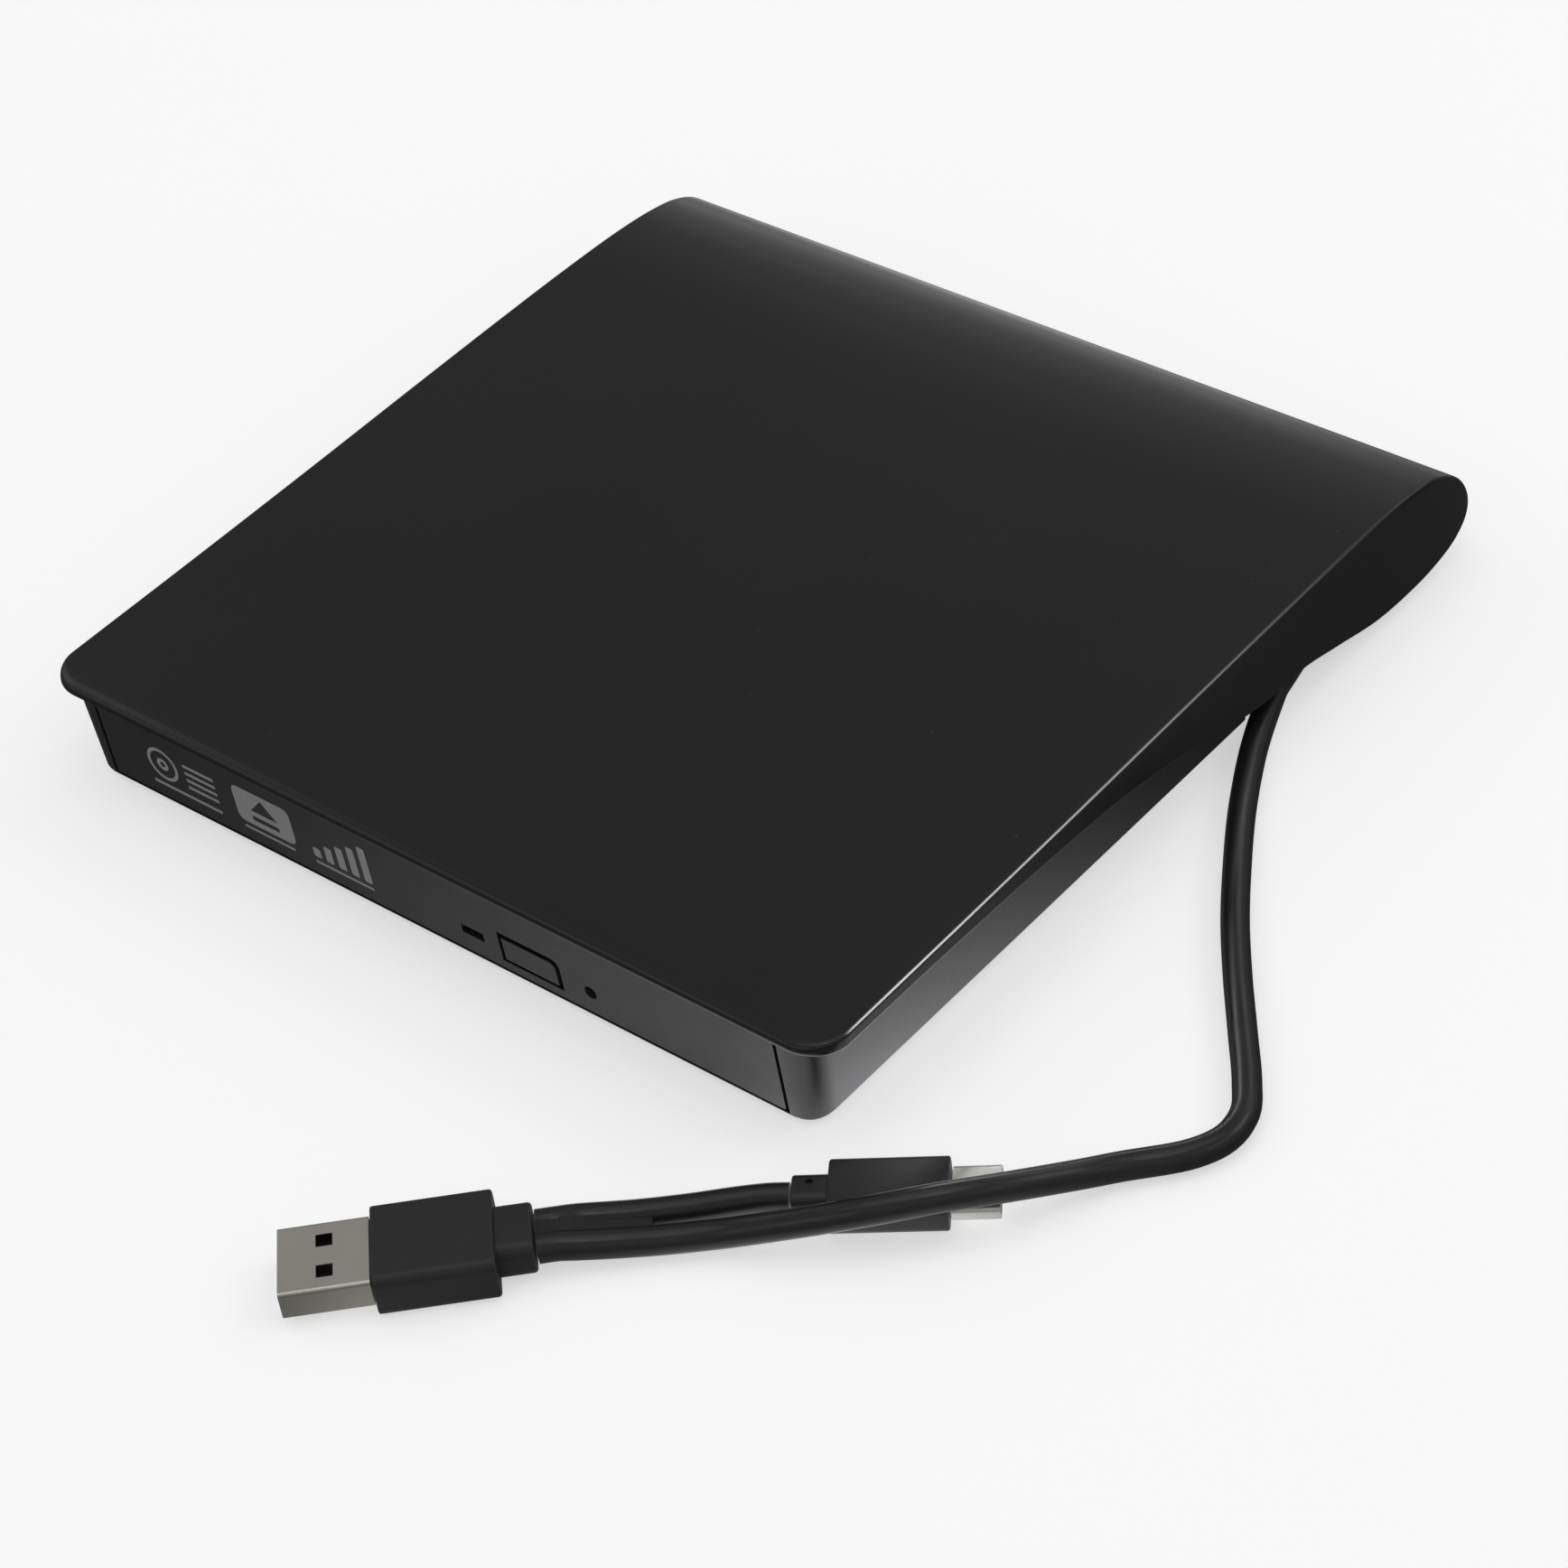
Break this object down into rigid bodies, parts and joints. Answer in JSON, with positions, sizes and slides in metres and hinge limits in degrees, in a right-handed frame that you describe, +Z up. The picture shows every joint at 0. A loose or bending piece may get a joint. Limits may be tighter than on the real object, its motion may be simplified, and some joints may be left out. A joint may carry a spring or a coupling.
{
  "type": "external optical drive",
  "caption": "Slim external optical drive: wedge housing with a rolled rear edge, pull-out disc tray with eject button, and a captive lead ending in a large and a small plug.",
  "frame": {"origin": "centre of the housing's footprint, on the surface its feet stand on", "axes": "+Z up; +Y from the tray's front towards the rolled rear edge; +X to the right seen from the front"},
  "size_m": [0.191, 0.2124, 0.0197],
  "materials": {
    "cover_black": "satin gloss black moulding",
    "base_black": "fine satin black moulding",
    "bezel_black": "fine satin black moulding",
    "foot_rubber": "matt black rubber pad",
    "cord_black": "smooth flexible PVC jacket",
    "plug_black": "fine-grained moulded PVC",
    "pan_steel": "zinc-plated sheet steel",
    "plug_steel": "nickel-plated sheet steel",
    "rod_steel": "ground and polished steel",
    "screw_steel": "black-passivated steel",
    "tray_black": "matt black moulding",
    "board_green": "solder-masked circuit board",
    "chip_black": "matt moulded epoxy",
    "connector_ivory": "natural nylon",
    "ribbon_amber": "polyimide ribbon",
    "lens_glass": "coated lens",
    "led_window": "smoked clear plastic",
    "tongue_black": "glass-filled black plastic"
  },
  "bodies": {
    "housing": {"top_cover": "cover_black", "base_shell": "base_black", "foot_1": "foot_rubber", "foot_2": "foot_rubber", "foot_3": "foot_rubber", "foot_4": "foot_rubber", "case_screw_1": "screw_steel", "case_screw_2": "screw_steel", "case_screw_3": "screw_steel", "case_screw_4": "screw_steel", "drive_pan": "pan_steel", "drive_lid": "pan_steel", "drive_board": "board_green", "drive_chip": "chip_black", "sata_plug": "chip_black", "tray_ribbon": "ribbon_amber", "bridge_board": "board_green", "bridge_chip": "chip_black", "sata_socket": "chip_black", "wire_header": "connector_ivory", "inner_lead": "cord_black", "cable_gland": "foot_rubber", "gutter_lead": "cord_black"},
    "disc_tray": {"tray": "tray_black", "tray_bezel": "bezel_black", "led_window": "led_window", "front_board": "board_green", "traverse_plate": "pan_steel", "guide_rod_front": "rod_steel", "guide_rod_rear": "rod_steel", "spindle_motor": "pan_steel", "sled_motor": "pan_steel", "eject_solenoid": "pan_steel"},
    "left_rail": {"rail_left": "pan_steel"},
    "right_rail": {"rail_right": "pan_steel"},
    "button": {"eject_button": "bezel_black"},
    "spindle": {"turntable": "tray_black", "grip_ring": "foot_rubber"},
    "claw_1": {"hub_claw_1": "connector_ivory"},
    "claw_2": {"hub_claw_2": "connector_ivory"},
    "claw_3": {"hub_claw_3": "connector_ivory"},
    "sled": {"laser_sled": "pan_steel"},
    "lens": {"lens_holder": "tray_black", "objective_lens": "lens_glass"},
    "screw": {"leadscrew": "rod_steel"},
    "latch": {"tray_latch": "connector_ivory"},
    "lead": {"main_cable": "cord_black", "jumper_cable": "cord_black", "usb_a_body": "plug_black", "usb_a_shell": "plug_steel", "usb_a_tongue": "tongue_black", "usb_c_body": "plug_black", "usb_c_shell": "plug_steel", "usb_c_contacts": "chip_black"}
  },
  "joints": [
    {"name": "tray_slide", "type": "slide", "parent": "housing", "child": "disc_tray", "axis": [0, -1, 0], "range_m": [0, 0.13]},
    {"name": "rail_left_slide", "type": "slide", "parent": "housing", "child": "left_rail", "axis": [0, -1, 0], "range_m": [0, 0.0651]},
    {"name": "rail_right_slide", "type": "slide", "parent": "housing", "child": "right_rail", "axis": [0, -1, 0], "range_m": [0, 0.0651]},
    {"name": "lead_swing", "type": "hinge", "parent": "housing", "child": "lead", "pos_m": [0.0693, 0.031, 0.0021], "axis": [0, 0, 1], "range_deg": [0, 35.5]},
    {"name": "eject_button_press", "type": "slide", "parent": "disc_tray", "child": "button", "axis": [0, 1, 0], "range_m": [0, 0.0005], "stiffness_N_per_m": 1500, "springref_m": -0.0003},
    {"name": "turntable_spin", "type": "hinge", "parent": "disc_tray", "child": "spindle", "pos_m": [0, -0.0077, 0.01], "axis": [0, 0, 1], "continuous": true},
    {"name": "claw_1_slide", "type": "slide", "parent": "spindle", "child": "claw_1", "axis": [0, -1, 0], "range_m": [0, 0.0005], "stiffness_N_per_m": 400, "springref_m": -0.0003},
    {"name": "claw_2_slide", "type": "slide", "parent": "spindle", "child": "claw_2", "axis": [0.866, 0.5, 0], "range_m": [0, 0.0005], "stiffness_N_per_m": 400, "springref_m": -0.0003},
    {"name": "claw_3_slide", "type": "slide", "parent": "spindle", "child": "claw_3", "axis": [-0.866, 0.5, 0], "range_m": [0, 0.0005], "stiffness_N_per_m": 400, "springref_m": -0.0003},
    {"name": "sled_slide", "type": "slide", "parent": "disc_tray", "child": "sled", "axis": [0.7071, -0.7071, 0], "range_m": [0, 0.03]},
    {"name": "leadscrew_turn", "type": "hinge", "parent": "disc_tray", "child": "screw", "pos_m": [0.04175, -0.02315, 0.0073], "axis": [0.7071, -0.7071, 0], "range_deg": [0, 3601]},
    {"name": "lens_focus", "type": "slide", "parent": "sled", "child": "lens", "axis": [0, 0, 1], "range_m": [-0.0004, 0.0004], "stiffness_N_per_m": 120},
    {"name": "tray_latch_swing", "type": "hinge", "parent": "disc_tray", "child": "latch", "pos_m": [-0.0395, -0.0492, 0.0065], "axis": [0, 0, -1], "range_deg": [0, 10.5]}
  ],
  "couplings": [
    {"joint": "rail_left_slide", "follows": "tray_slide", "ratio": 0.5},
    {"joint": "rail_right_slide", "follows": "tray_slide", "ratio": 0.5},
    {"joint": "lead_swing", "follows": "tray_slide", "rad_per_m": 4.7124},
    {"joint": "leadscrew_turn", "follows": "sled_slide", "rad_per_m": 2094.4}
  ]
}
